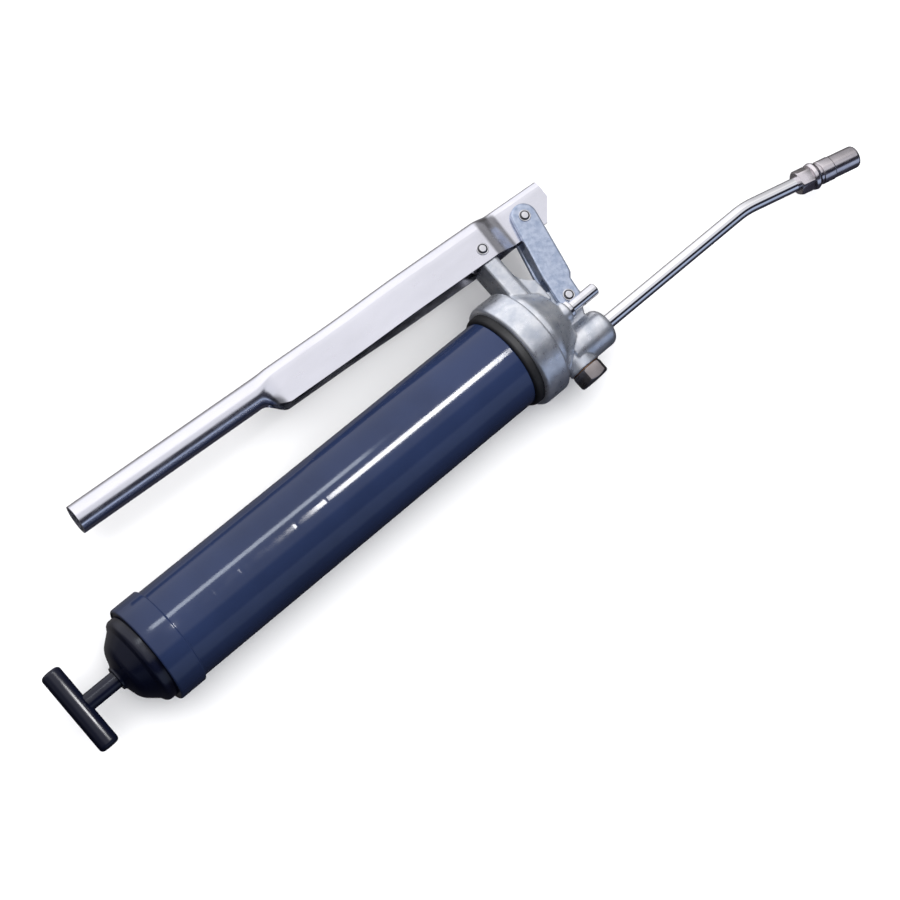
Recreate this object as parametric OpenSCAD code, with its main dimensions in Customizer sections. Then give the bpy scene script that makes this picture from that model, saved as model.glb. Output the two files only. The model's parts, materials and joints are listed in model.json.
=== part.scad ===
// Lever-operated grease gun with a rigid extension pipe and hydraulic coupler.
// Frame: origin on the barrel's axis near its middle, +X towards the coupler,
// +Y towards the hand lever, +Z square to the lever's plane. Millimetres.

/* [Barrel] */
// Outer diameter of the barrel tube
barrel_od = 57; // [52:0.5:60]
// Wall of the barrel tube
barrel_wall = 1.5; // [1:0.1:2]
// From the barrel's middle to the front end of the tube
barrel_front = 134; // [124:1:144]
// From the barrel's middle back to the step of the belled tail end
bell_step = 128.4; // [118:1:140]
// Length of the belled tail end
bell_len = 17; // [12:1:22]
// Outer radius of the belled tail end
bell_r = 30.3; // [30:0.1:31.5]
// From the barrel's middle to the shoulder of its threaded spigot
spigot_start = 117; // [110:0.5:119]
// Outer radius of the threaded spigot
spigot_r = 28; // [27.8:0.05:28]

/* [Head] */
// From the barrel's middle to the plunger's axis
plunger_x = 150; // [145:1:155]
// Outer radius of the collar that takes the barrel
collar_r = 34.2; // [33:0.1:36]
// Width of the collar along the barrel
collar_w = 16.8; // [15:0.1:18]
// Height of the plunger tower's top above the barrel's axis
tower_top = 49.5; // [47:0.5:50]
// Drop of the outlet nose below the barrel's axis
nose_drop = 20.5; // [19:0.5:22]
// Radius of the outlet nose
nose_r = 11.8; // [10:0.1:12]

/* [Lever] */
// Tilt of the closed lever against the barrel, in degrees
lever_tilt = 3.2; // [2:0.1:4]
// Diameter of the rolled grip
grip_d = 17.4; // [16:0.1:19]
// Length of the rolled grip
grip_len = 120; // [100:1:130]
// Sheet thickness of the lever
sheet_t = 1.6; // [1.2:0.1:2]
// Radius of the three pivot pins
pin_r = 3; // [2.5:0.1:3.2]

/* [Pipe and coupler] */
// Outer diameter of the extension pipe
pipe_d = 8.6; // [8:0.1:9]
// Straight length of the pipe from the plunger's axis to the bend
pipe_run = 149.7; // [120:1:160]
// Bend of the pipe away from the lever, in degrees
pipe_bend = 12.8; // [5:0.1:20]
// Length of the pipe beyond the bend up to the coupler
pipe_end = 38.3; // [30:0.1:60]

/* [Follower] */
// Diameter of the follower rod
rod_d = 10; // [8:0.5:10.5]
// Length of the T-handle's bar
tee_len = 51; // [40:1:60]
// Diameter of the T-handle's bar
tee_d = 12; // [10:0.5:13]

/* [Hidden] */
$fn = 64;

fit = 0.06;          // running clearance on a radius
gap = 0.3;           // clearance between separate bodies

// Pivot points: A lever on plunger, B lever on link, C link on head
pin_a = [plunger_x, 56.7];
pin_b = [plunger_x + 36, 57.6];
pin_c = [plunger_x + 23.6, 5.4];

barrel_r = barrel_od / 2;
barrel_bore = barrel_r - barrel_wall;
collar_back = plunger_x - 27.5;
collar_front = collar_back + collar_w;
socket_end = barrel_front + 2;
seal_r = 30.7;
bell_wall = 1.2;
chamber_end = plunger_x - 12;
nose_x = plunger_x + 31.7;
dome_x = plunger_x + 11;
lug_z = 4.9;
arm_in = 5.2;
arm_out = 8.3;
tower_z = 11.8;
plunger_r = 3.6;
plunger_foot = -12;
valve_x = plunger_x + 4.5;
valve_seat_y = -16;
plug_seat_y = -32.8;
plug_r = 10.3;
bleed_y = -1.8;
bleed_z = 12.8;
bleed_r = 3.8;
bell_back = -(bell_step + bell_len);
cap_rim_r = 26.7;
cap_rim_back = bell_back - 9.8;
cap_nose = cap_rim_back - 10.1;
tee_x = plunger_x - 339.2;
follower_x = 96;
clip_t = 1;

function arc(c, r, a0, a1, n = 8) =
    [for (i = [0:n]) let (a = a0 + (a1 - a0) * i / n) [c[0] + r * cos(a), c[1] + r * sin(a)]];

// Solid turned about the X axis from a profile of [x, radius] points
module turned_x(profile) {
    rotate([0, 90, 0]) rotate_extrude($fn = 96) polygon([for (p = profile) [p[1], p[0]]]);
}

// Solid turned about an upright Y axis from [y, radius] points
module turned_y(profile) {
    rotate([-90, 0, 0]) rotate_extrude() polygon([for (p = profile) [p[1], p[0]]]);
}

module rod_x(r, x0, x1) {
    translate([x0, 0, 0]) rotate([0, 90, 0]) cylinder(r = r, h = x1 - x0);
}

module rod_y(r, y0, y1) {
    translate([0, y0, 0]) rotate([-90, 0, 0]) cylinder(r = r, h = y1 - y0);
}

module rod_z(r, z0, z1) {
    translate([0, 0, z0]) cylinder(r = r, h = z1 - z0);
}

module at_xy(p) {
    translate([p[0], p[1], 0]) children();
}

// Helical compression spring along X from x = 0 to x = length
module coil_spring(mean_r, wire_r, length, turns, steps = 12, sides = 6) {
    n = turns * steps;
    travel = length - 2 * wire_r;
    points = [for (i = [0:n]) for (j = [0:sides - 1])
        let (a = 360 * i / steps, b = 360 * j / sides, r = mean_r + wire_r * cos(b))
        [wire_r + travel * i / n + wire_r * sin(b), r * cos(a), r * sin(a)]];
    walls = [for (i = [0:n - 1]) for (j = [0:sides - 1])
        let (k = (j + 1) % sides, p = i * sides, q = p + sides)
        each [[p + j, q + j, q + k], [p + j, q + k, p + k]]];
    first = [for (j = [0:sides - 1]) j];
    last = [for (j = [sides - 1:-1:0]) n * sides + j];
    polyhedron(points, concat(walls, [first], [last]));
}

// ---------------------------------------------------------------- head
module collar_and_dome() {
    x0 = collar_back;
    x1 = collar_front;
    turned_x(concat(
        [[x0 + 1, 0]],
        [[x0 + 1, collar_r - 3.2]],
        arc([x0 + 3, collar_r - 3], 3, 180, 90, 6),
        arc([x1 - 1.5, collar_r - 1.5], 1.5, 90, 0, 4),
        arc([x1 + 3, 31], 3, 180, 270, 6),
        arc([x1 + 3, 12], 16, 90, 22, 10),
        [[dome_x, 15], [dome_x, 0]]));
}

module tower() {
    // rectangular tower for the plunger with rounded long edges
    x0 = plunger_x - 5.5;
    x1 = plunger_x + 5.5;
    translate([0, tower_top, 0]) rotate([90, 0, 0]) linear_extrude(tower_top - 5)
        polygon(concat(
            arc([x0 + 1.5, -tower_z + 1.5], 1.5, 180, 270, 4),
            arc([x1 - 3, -tower_z + 3], 3, 270, 360, 6),
            arc([x1 - 3, tower_z - 3], 3, 0, 90, 6),
            arc([x0 + 1.5, tower_z - 1.5], 1.5, 90, 180, 4)));
    // flare of the tower into the dome
    translate([0, 0, -9]) linear_extrude(18)
        polygon(concat(
            [[plunger_x - 5.5, 15]],
            [[plunger_x - 5.5, 30]],
            [[plunger_x + 5.4, 36]],
            arc([plunger_x + 28.3, 45], 25, 204, 236, 8),
            [[plunger_x + 14, 10]]));
}

module link_lug() {
    // spine that carries the link's pin and runs down to the outlet nose
    translate([0, 0, -lug_z]) linear_extrude(2 * lug_z)
        polygon(concat(
            [[plunger_x + 5, -14]],
            [[plunger_x + 5, 22]],
            [[plunger_x + 13.5, 17]],
            arc(pin_c, 8.8, 115, -60, 14),
            [[plunger_x + 22, -14]]));
}

module outlet_nose() {
    translate([0, -nose_drop, 0]) turned_x(concat(
        [[plunger_x + 2, 0], [plunger_x + 2, nose_r]],
        arc([nose_x - 4, nose_r - 4], 4, 90, 0, 6),
        [[nose_x, 0]]));
}

module head_bores() {
    // socket for the barrel's thread, then the grease chamber's roof
    rod_x(spigot_r + fit, collar_back - 1, socket_end);
    rod_x(barrel_bore - 2, socket_end - 0.1, chamber_end);
    // recess for the dust seal
    rod_x(seal_r + 0.1, collar_back - 1, collar_back + 3.5);
    // plunger's bore and packing groove
    at_xy([plunger_x, 0]) rod_y(plunger_r + fit, -14, tower_top + 1);
    at_xy([plunger_x, 0]) rod_y(4.7, 42, 45);
    // inlet from the barrel to the pump chamber
    translate([0, 8, 0]) rod_x(2.5, chamber_end - 1, plunger_x);
    // check valve chamber below the plunger
    at_xy([valve_x, 0]) rod_y(6.2, plug_seat_y - 1, valve_seat_y - 2);
    at_xy([valve_x, 0]) rod_y(2.8, valve_seat_y - 3, -12);
    // outlet passage and the pipe's threaded hole
    translate([0, -nose_drop - 3, 0]) rod_x(1.8, valve_x, nose_x - 8);
    translate([0, -nose_drop, 0]) rod_x(pipe_d / 2, nose_x - 9, nose_x + 1);
    // bleed passage and its threaded hole
    translate([0, bleed_y, bleed_z]) rod_x(4.6, plunger_x + 2, dome_x + 20);
    translate([0, bleed_y, bleed_z]) rod_x(1.2, chamber_end - 1, plunger_x + 3);
    // link pin's hole
    at_xy(pin_c) rod_z(pin_r + 0.05, -lug_z - 1, lug_z + 1);
}

module head_casting() color([0.72, 0.75, 0.8]) difference() {
    union() {
        collar_and_dome();
        tower();
        link_lug();
        outlet_nose();
        // boss for the check valve plug
        at_xy([valve_x, 0]) rod_y(10, plug_seat_y, -8);
        // round boss for the bleed valve
        translate([0, bleed_y, bleed_z]) rod_x(7.2, plunger_x - 4, dome_x + 2.5);
    }
    head_bores();
}

module dust_seal() color([0.05, 0.05, 0.06]) turned_x(concat(
    [[collar_back + 3.5, spigot_r + 0.1]],
    [[spigot_start + 0.3, spigot_r + 0.1]],
    arc([spigot_start + 2.3, seal_r - 2], 2, 180, 90, 6),
    [[collar_back + 3.5, seal_r]]));

module plunger_packing() color([0.1, 0.1, 0.1]) at_xy([plunger_x, 0])
    turned_y([[42.1, plunger_r + 0.03], [44.9, plunger_r + 0.03], [44.9, 4.6], [42.1, 4.6]]);

module valve_plug() color([0.5, 0.48, 0.5]) at_xy([valve_x, 0]) difference() {
    union() {
        // hexagon head with a chamfered underside
        intersection() {
            rotate([-90, 0, 0]) translate([0, 0, plug_seat_y - 9]) cylinder(r = plug_r, h = 8.2, $fn = 6);
            turned_y([[plug_seat_y - 9, 0], [plug_seat_y - 9, 9], [plug_seat_y - 7.8, plug_r + 0.5],
                      [plug_seat_y, plug_r + 0.5], [plug_seat_y, 0]]);
        }
        rod_y(6.15, plug_seat_y - 1, plug_seat_y + 7);
    }
    rod_y(4.6, plug_seat_y + 3, plug_seat_y + 8);
}

module plug_washer() color([0.6, 0.35, 0.2]) at_xy([valve_x, 0])
    turned_y([[plug_seat_y - 0.78, 6.2], [plug_seat_y - 0.02, 6.2],
              [plug_seat_y - 0.02, 9.2], [plug_seat_y - 0.78, 9.2]]);

module check_ball() color([0.8, 0.8, 0.82])
    translate([valve_x, valve_seat_y - 5.2, 0]) sphere(r = 3.9);

module check_spring() color([0.6, 0.6, 0.62])
    translate([valve_x, plug_seat_y + 3.1, 0]) rotate([0, 0, 90]) coil_spring(3.2, 0.5, 5.4, 4);

// ---------------------------------------------------------------- bleed valve
module bleed_body() color([0.75, 0.76, 0.78]) translate([0, bleed_y, bleed_z]) difference() {
    turned_x([[plunger_x + 5, 0], [plunger_x + 5, 4.55], [dome_x + 2.55, 4.55], [dome_x + 2.55, 6.3],
              [dome_x + 4.6, 6.3], [dome_x + 5.2, 5.7], [dome_x + 5.2, 0]]);
    rod_x(bleed_r + fit, plunger_x + 8, dome_x + 10);
    rod_x(2, plunger_x + 4, plunger_x + 9);
}

module bleed_pin() color([0.85, 0.86, 0.88]) translate([0, bleed_y, bleed_z]) turned_x([
    [plunger_x + 12.4, 0], [plunger_x + 12.4, 1.6], [plunger_x + 13.4, 1.6], [plunger_x + 13.4, bleed_r],
    [plunger_x + 35.7, bleed_r], [plunger_x + 36.5, bleed_r - 0.8], [plunger_x + 36.5, 0]]);

module bleed_seal() color([0.08, 0.08, 0.08]) translate([0, bleed_y, bleed_z]) turned_x([
    [plunger_x + 12.4, 1.65], [plunger_x + 13.3, 1.65], [plunger_x + 13.3, 3.6], [plunger_x + 12.4, 3.6]]);

module bleed_spring() color([0.6, 0.6, 0.62])
    translate([plunger_x + 8.1, bleed_y, bleed_z]) coil_spring(2.8, 0.4, 4.1, 3);

// ---------------------------------------------------------------- pipe and coupler
bend_r = 60;
bend_lead = bend_r * tan(pipe_bend / 2);
bend_at = [plunger_x + pipe_run, -nose_drop];

// Places children with X along the bent stretch, x = 0 at the pipe's bend
module beyond_bend() {
    translate([bend_at[0], bend_at[1], 0]) rotate([0, 0, -pipe_bend]) children();
}

bend_steps = 6;
pipe_bore = 1.9;
pipe_sides = 32;
// Middle line of the pipe as [x, y, degrees turned down]
pipe_route = concat(
    [[nose_x - 8.9, -nose_drop, 0]],
    [for (i = [0:bend_steps]) let (a = pipe_bend * i / bend_steps)
        [bend_at[0] - bend_lead + bend_r * sin(a), -nose_drop - bend_r * (1 - cos(a)), a]],
    [[bend_at[0] + (pipe_end + 9) * cos(pipe_bend),
        bend_at[1] - (pipe_end + 9) * sin(pipe_bend), pipe_bend]]);
function pipe_ring(p, r) = [for (j = [0:pipe_sides - 1]) let (b = 360 * j / pipe_sides)
    [p[0] + r * cos(b) * sin(p[2]), p[1] + r * cos(b) * cos(p[2]), r * sin(b)]];

module extension_pipe() color([0.85, 0.86, 0.88]) {
    n = len(pipe_route);
    ring = 2 * pipe_sides;
    points = [for (p = pipe_route) each concat(pipe_ring(p, pipe_d / 2), pipe_ring(p, pipe_bore))];
    walls = [for (s = [0:n - 2]) for (j = [0:pipe_sides - 1])
        let (k = (j + 1) % pipe_sides, p = s * ring, q = p + ring, h = pipe_sides)
        each [[p + j, q + k, p + k], [p + j, q + j, q + k],
              [p + h + j, p + h + k, q + h + k], [p + h + j, q + h + k, q + h + j]]];
    ends = [for (j = [0:pipe_sides - 1])
        let (k = (j + 1) % pipe_sides, h = pipe_sides, e = (n - 1) * ring)
        each [[j, k, h + k], [j, h + k, h + j], [e + j, e + h + k, e + k], [e + j, e + h + j, e + h + k]]];
    polyhedron(points, concat(walls, ends));
}

// Lengths along the coupler, from its rear face
adaptor_end = 9.5;
ring_end = 14.6;
sleeve_end = 43.9;
mouth_r = 3.6;

module coupler_frame() {
    beyond_bend() translate([pipe_end, 0, 0]) children();
}

module coupler_adaptor() color([0.72, 0.7, 0.7]) coupler_frame() difference() {
    union() {
        intersection() {
            rotate([0, 90, 0]) cylinder(r = 7.9, h = adaptor_end, $fn = 6);
            turned_x([[0, 0], [0, 7.1], [0.9, 8.2], [adaptor_end, 8.2], [adaptor_end, 0]]);
        }
        rod_x(5.2, adaptor_end - 1, ring_end + 3);
    }
    rod_x(pipe_d / 2, -1, 9.2);
    rod_x(1.9, 8, ring_end + 4);
}

module coupler_lock_ring() color([0.78, 0.76, 0.76]) coupler_frame() difference() {
    turned_x(concat(
        [[adaptor_end + 0.05, 0], [adaptor_end + 0.05, 7.6]],
        arc([adaptor_end + 2.5, 6.1], 2.5, 150, 30, 8),
        [[ring_end, 7.1], [ring_end, 0]]));
    rod_x(5.25, adaptor_end - 1, ring_end + 1);
}

module coupler_sleeve() color([0.8, 0.79, 0.81]) coupler_frame() difference() {
    turned_x(concat(
        [[ring_end + 0.05, 0], [ring_end + 0.05, 6.7], [ring_end + 1.8, 6.7], [ring_end + 2.2, 7.3],
         [24.6, 7.3], [25.2, 7]],
        arc([sleeve_end - 2.2, 4.8], 2.2, 90, 0, 6),
        [[sleeve_end, 0]]));
    rod_x(5.25, ring_end - 1, ring_end + 3.05);
    rod_x(5.6, ring_end + 3, 40.6);
    rod_x(mouth_r, 40, sleeve_end + 1);
    // two small tommy holes
    for (z = [-1, 1]) translate([ring_end + 1.6, 0, z * 6.4]) rotate([90, 0, 0])
        translate([0, 0, -1.2]) cylinder(r = 0.9, h = 2.4);
}

module coupler_jaws() color([0.45, 0.45, 0.47]) coupler_frame() difference() {
    turned_x([[32, 2.9], [32, 5.3], [38.4, 5.3], [40.2, 4.6], [40.2, 2.9]]);
    for (a = [0, 90]) rotate([a, 0, 0]) translate([33.4, -6, -0.45]) cube([8, 12, 0.9]);
}

module coupler_seal() color([0.1, 0.1, 0.1]) coupler_frame()
    turned_x([[26.4, 1.4], [26.4, 5.2], [31.9, 5.2], [31.9, 2.7], [30.4, 1.4]]);

module coupler_spring() color([0.6, 0.6, 0.62]) coupler_frame()
    translate([18.2, 0, 0]) coil_spring(4.2, 0.5, 8.1, 4);

// ---------------------------------------------------------------- barrel
module barrel() color([0.13, 0.19, 0.4]) difference() {
    turned_x(concat(
        [[bell_back, 0], [bell_back, bell_r - 3.2]],
        arc([bell_back + 3.2, bell_r - 3.2], 3.2, 180, 90, 6),
        arc([-bell_step - 0.8, bell_r - 0.8], 0.8, 90, 0, 4),
        [[-bell_step, barrel_r], [spigot_start, barrel_r], [spigot_start, spigot_r]],
        [[barrel_front - 0.6, spigot_r], [barrel_front, spigot_r - 0.6], [barrel_front, 0]]));
    rod_x(barrel_bore, bell_back - 1, barrel_front + 1);
    rod_x(bell_r - bell_wall, bell_back - 1, -bell_step - 2);
}

module barrel_gasket() color([0.06, 0.06, 0.06])
    turned_x([[barrel_front + 0.02, 25.2], [barrel_front + 0.02, 27.7],
              [socket_end - 0.02, 27.7], [socket_end - 0.02, 25.2]]);

module end_cap() color([0.06, 0.07, 0.1]) difference() {
    turned_x(concat(
        [[cap_nose, 0], [cap_nose, 6]],
        [[cap_nose + 1.4, 7.2], [cap_nose + 2.6, 9.6], [cap_nose + 4.4, 16.5], [cap_rim_back + 2.3, 23]],
        arc([cap_rim_back + 6.1, cap_rim_r - 4.2], 4.2, 150, 90, 6),
        [[bell_back + 0.6, cap_rim_r], [bell_back + 0.6, bell_r - bell_wall - 0.05]],
        [[bell_back + 13, bell_r - bell_wall - 0.05], [bell_back + 13, 0]]));
    turned_x([[cap_nose + 4.2, 0], [cap_nose + 4.2, 8], [cap_rim_back + 4, 21.6], [bell_back, 24.5],
              [bell_back + 14, 24.5], [bell_back + 14, 0]]);
    rod_x(6.5, cap_nose - 1, cap_nose + 9);
}

module rod_bush() color([0.2, 0.2, 0.22])
    turned_x([[cap_nose + 0.4, rod_d / 2 + fit], [cap_nose + 0.4, 6.45], [cap_nose + 4.3, 6.45],
              [cap_nose + 4.3, 7.8], [cap_nose + 6.2, 7.8], [cap_nose + 6.2, rod_d / 2 + fit]]);

module follower_spring() color([0.55, 0.55, 0.58])
    translate([bell_back + 1, 0, 0]) coil_spring(20.5, 1.1, follower_x - bell_back - 1.4, 15, 12, 6);

// ---------------------------------------------------------------- follower and rod
module follower_cup() color([0.07, 0.07, 0.07]) difference() {
    turned_x([[follower_x + 1.65, 0], [follower_x + 1.65, 22.5], [follower_x - 5, barrel_bore - 0.4],
              [follower_x - 4, barrel_bore - gap], [follower_x + 12, barrel_bore - gap],
              [follower_x + 12, barrel_bore - 2], [follower_x + 4.8, 23], [follower_x + 4.8, 0]]);
    rod_x(rod_d / 2 - 0.9, follower_x, follower_x + 6);
}

module follower_front_plate() color([0.6, 0.61, 0.63])
    turned_x([[follower_x + 4.85, 4.2], [follower_x + 4.85, 22.6],
              [follower_x + 6.4, 22.6], [follower_x + 6.4, 4.2]]);

module follower_rear_plate() color([0.6, 0.61, 0.63])
    turned_x([[follower_x, 5.3], [follower_x, 22.4], [follower_x + 1.6, 22.4], [follower_x + 1.6, 5.3]]);

module follower_rod() color([0.09, 0.1, 0.14]) turned_x([
    [tee_x + tee_d / 2 - 1.5, 0], [tee_x + tee_d / 2 - 1.5, rod_d / 2], [follower_x + 1.6, rod_d / 2],
    [follower_x + 1.6, 3.9], [follower_x + 13, 3.9], [follower_x + 14, 2.9], [follower_x + 14, 0]]);

module rod_stop_nut() color([0.6, 0.61, 0.63]) difference() {
    translate([follower_x + 6.7, 0, 0]) rotate([0, 90, 0]) cylinder(r = 7.5, h = 6, $fn = 6);
    rod_x(3.95, follower_x + 6, follower_x + 14);
}

module t_handle() color([0.05, 0.06, 0.09]) difference() {
    translate([tee_x, 0, 0]) turned_y(concat(
        [[-tee_len / 2, 0]],
        arc([-tee_len / 2 + 1.8, tee_d / 2 - 1.8], 1.8, 180, 90, 5),
        arc([tee_len / 2 - 1.8, tee_d / 2 - 1.8], 1.8, 90, 0, 5),
        [[tee_len / 2, 0]]));
    rod_x(rod_d / 2 + 0.02, tee_x + tee_d / 2 - 1.52, tee_x + tee_d);
}

// ---------------------------------------------------------------- lever
// Lever's own frame: origin on pin B, x along its top edge towards the nose
module lever_frame() {
    at_xy(pin_b) rotate([0, 0, -lever_tilt]) children();
}

lever_top = 14.5;
lever_low = -10.4;
lever_tail = -313;
lever_nose = 20.5;
grip_end = lever_tail + grip_len;
grip_r = grip_d / 2 - sheet_t / 2;
roll_len = 15;
lever_stations = [
    lever_tail, lever_tail + 40, lever_tail + 80, grip_end, grip_end + 2, grip_end + 4, grip_end + 6,
    grip_end + 8, grip_end + 10, grip_end + 12, grip_end + roll_len, grip_end + 35, -141, -126, -111,
    -96, -81, -50, -31, -28, -25, -22, -19, -16, -13, 0, lever_nose
];
function smooth(t) = let (c = min(max(t, 0), 1)) c * c * (3 - 2 * c);
// Half width of the channel's sheet at x
function lever_half(x) =
    8 + 5.1 * smooth((x + 141) / 60) - 9 * smooth((x + 31) / 18);
// Sheet's middle line in section: flange, bend, web, bend, flange, as [y, z]
function channel_line(w) =
    let (t = lever_top - sheet_t / 2, r = min(5.6, w - 0.6), b = lever_low)
    concat(
        [for (i = [0:3]) [b + (t - r - b) * i / 4, -w]],
        arc([t - r, -w + r], r, -90, 0, 5) ,
        [[t, 0]],
        [for (p = arc([t - r, w - r], r, 0, 90, 5)) p],
        [for (i = [3:-1:0]) [b + (t - r - b) * i / 4, w]]);
line_n = 21;
// Rolled grip in section, open along a narrow seam at the bottom
function grip_line() =
    let (c = lever_top - grip_d / 2, seam = 4)
    [for (i = [0:line_n - 1])
        let (a = -180 + seam + (360 - 2 * seam) * i / (line_n - 1)) [c + grip_r * cos(a), grip_r * sin(a)]];
function sheet_line(x) =
    let (k = smooth((x - grip_end) / roll_len), g = grip_line(), c = channel_line(lever_half(x)))
    [for (i = [0:line_n - 1]) g[i] * (1 - k) + c[i] * k];
function side_of(line, i) =
    let (a = line[max(i - 1, 0)], b = line[min(i + 1, line_n - 1)], d = b - a)
    [d[1], -d[0]] / norm(d);
function section(x) =
    let (m = sheet_line(x), h = sheet_t / 2)
    concat([for (i = [0:line_n - 1]) m[i] + side_of(m, i) * h],
           [for (i = [line_n - 1:-1:0]) m[i] - side_of(m, i) * h]);

module lever_sheet() {
    ring = 2 * line_n;
    n = len(lever_stations);
    points = [for (x = lever_stations) for (p = section(x)) [x, p[0], p[1]]];
    walls = [for (s = [0:n - 2]) for (j = [0:ring - 1])
        let (k = (j + 1) % ring, p = s * ring, q = p + ring)
        each [[p + j, p + k, q + k], [p + j, q + k, q + j]]];
    tail = [for (i = [0:line_n - 2]) let (o = ring - 1 - i)
        each [[i, o, o - 1], [i, o - 1, i + 1]]];
    nose = [for (f = tail) [for (i = [2:-1:0]) f[i] + (n - 1) * ring]];
    polyhedron(points, concat(walls, tail, nose));
}

module lever() color([0.86, 0.86, 0.9]) lever_frame() difference() {
    lever_sheet();
    // chamfered lower corner of the nose
    translate([0, 0, -20]) linear_extrude(40)
        polygon([[10.2, lever_low - 1], [10.2, lever_low + 0.3], [lever_nose - 0.1, 2.4],
                 [lever_nose + 2, 2.4], [lever_nose + 2, lever_low - 1]]);
    rod_z(pin_r + 0.05, -20, 20);
    at_xy(pin_a_local) rod_z(pin_r + 0.05, -20, 20);
}

pin_a_step = pin_a - pin_b;
pin_a_local = [
    pin_a_step[0] * cos(lever_tilt) - pin_a_step[1] * sin(lever_tilt),
    pin_a_step[0] * sin(lever_tilt) + pin_a_step[1] * cos(lever_tilt)
];

// Headed pin along Z with a groove for a clip at its far end
module headed_pin(z_head, z_clip) {
    difference() {
        union() {
            rod_z(pin_r, z_clip - 2.2, z_head);
            rod_z(3.7, z_head, z_head + 0.7);
            translate([0, 0, z_head + 0.7]) cylinder(r1 = 2.2, r2 = 1.7, h = 0.6);
        }
        translate([0, 0, z_clip - clip_t - 0.05]) difference() {
            cylinder(r = pin_r + 1, h = clip_t + 0.05);
            translate([0, 0, -1]) cylinder(r = pin_r - 0.6, h = 4);
        }
    }
}

// Open spring clip in the groove under z_clip
module pin_clip(z_clip) {
    translate([0, 0, z_clip - clip_t]) difference() {
        cylinder(r = 4.5, h = clip_t - 0.05);
        translate([0, 0, -1]) cylinder(r = pin_r - 0.55, h = 4);
        translate([0, -1.6, -1]) cube([6, 3.2, 4]);
    }
}

flange_z = 14;
module plunger_pin() color([0.7, 0.7, 0.74]) at_xy(pin_a) headed_pin(flange_z, -flange_z);
module plunger_pin_clip() color([0.25, 0.25, 0.27]) at_xy(pin_a) pin_clip(-flange_z);
module fulcrum_pin() color([0.7, 0.7, 0.74]) at_xy(pin_b) headed_pin(arm_out + 0.1, -arm_out - 0.1);
module fulcrum_pin_clip() color([0.25, 0.25, 0.27]) at_xy(pin_b) pin_clip(-arm_out - 0.1);
module link_pin() color([0.7, 0.7, 0.74]) at_xy(pin_c) headed_pin(arm_out + 0.1, -arm_out - 0.1);
module link_pin_clip() color([0.25, 0.25, 0.27]) at_xy(pin_c) pin_clip(-arm_out - 0.1);

// ---------------------------------------------------------------- link and plunger
link_len = norm(pin_b - pin_c);
link_turn = atan2(pin_b[1] - pin_c[1], pin_b[0] - pin_c[0]);

module link_outline() {
    circle(r = 7.6);
    translate([link_len, 0]) circle(r = 8);
    polygon([[0, -7.2], [9, -6.6], [12, -8.3], [16, -8.6], [link_len, -8], [link_len, 8],
             [16, 8.8], [10, 8.2], [0, 7.4]]);
}

module link() color([0.6, 0.66, 0.78]) at_xy(pin_c) rotate([0, 0, link_turn]) difference() {
    union() {
        for (z = [-arm_out, arm_in]) translate([0, 0, z]) linear_extrude(arm_out - arm_in) link_outline();
        // web between the two arms
        translate([16, -7, -arm_in - 0.5]) cube([link_len - 32, 14, 2 * arm_in + 1]);
    }
    rod_z(pin_r + fit, -arm_out - 1, arm_out + 1);
    translate([link_len, 0, 0]) rod_z(pin_r + fit, -arm_out - 1, arm_out + 1);
}

eye_shift = [-1.5, 0.85];
module plunger() color([0.75, 0.76, 0.78]) at_xy([plunger_x, 0]) difference() {
    union() {
        rod_y(plunger_r, plunger_foot, tower_top + 1.5);
        // flat head with an oversize eye, so that the pin can wander along its arc
        translate([eye_shift[0], pin_a[1] + eye_shift[1], -6]) cylinder(r = 7.4, h = 12);
    }
    translate([eye_shift[0], pin_a[1] + eye_shift[1], -7]) cylinder(r = 5.05, h = 14);
}

head_casting();
dust_seal();
plunger_packing();
valve_plug();
plug_washer();
check_ball();
check_spring();
bleed_body();
bleed_pin();
bleed_seal();
bleed_spring();
extension_pipe();
coupler_adaptor();
coupler_lock_ring();
coupler_sleeve();
coupler_jaws();
coupler_seal();
coupler_spring();
link_pin();
link_pin_clip();
barrel();
barrel_gasket();
end_cap();
rod_bush();
follower_spring();
follower_cup();
follower_front_plate();
follower_rear_plate();
follower_rod();
rod_stop_nut();
t_handle();
lever();
fulcrum_pin();
fulcrum_pin_clip();
plunger_pin();
plunger_pin_clip();
link();
plunger();
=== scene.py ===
"""Looks for a lever-operated grease gun: plated lever and pipe, cast head, navy enamelled barrel."""
import json
import math

import bmesh
import bpy
from mathutils import Matrix, Vector


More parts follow.
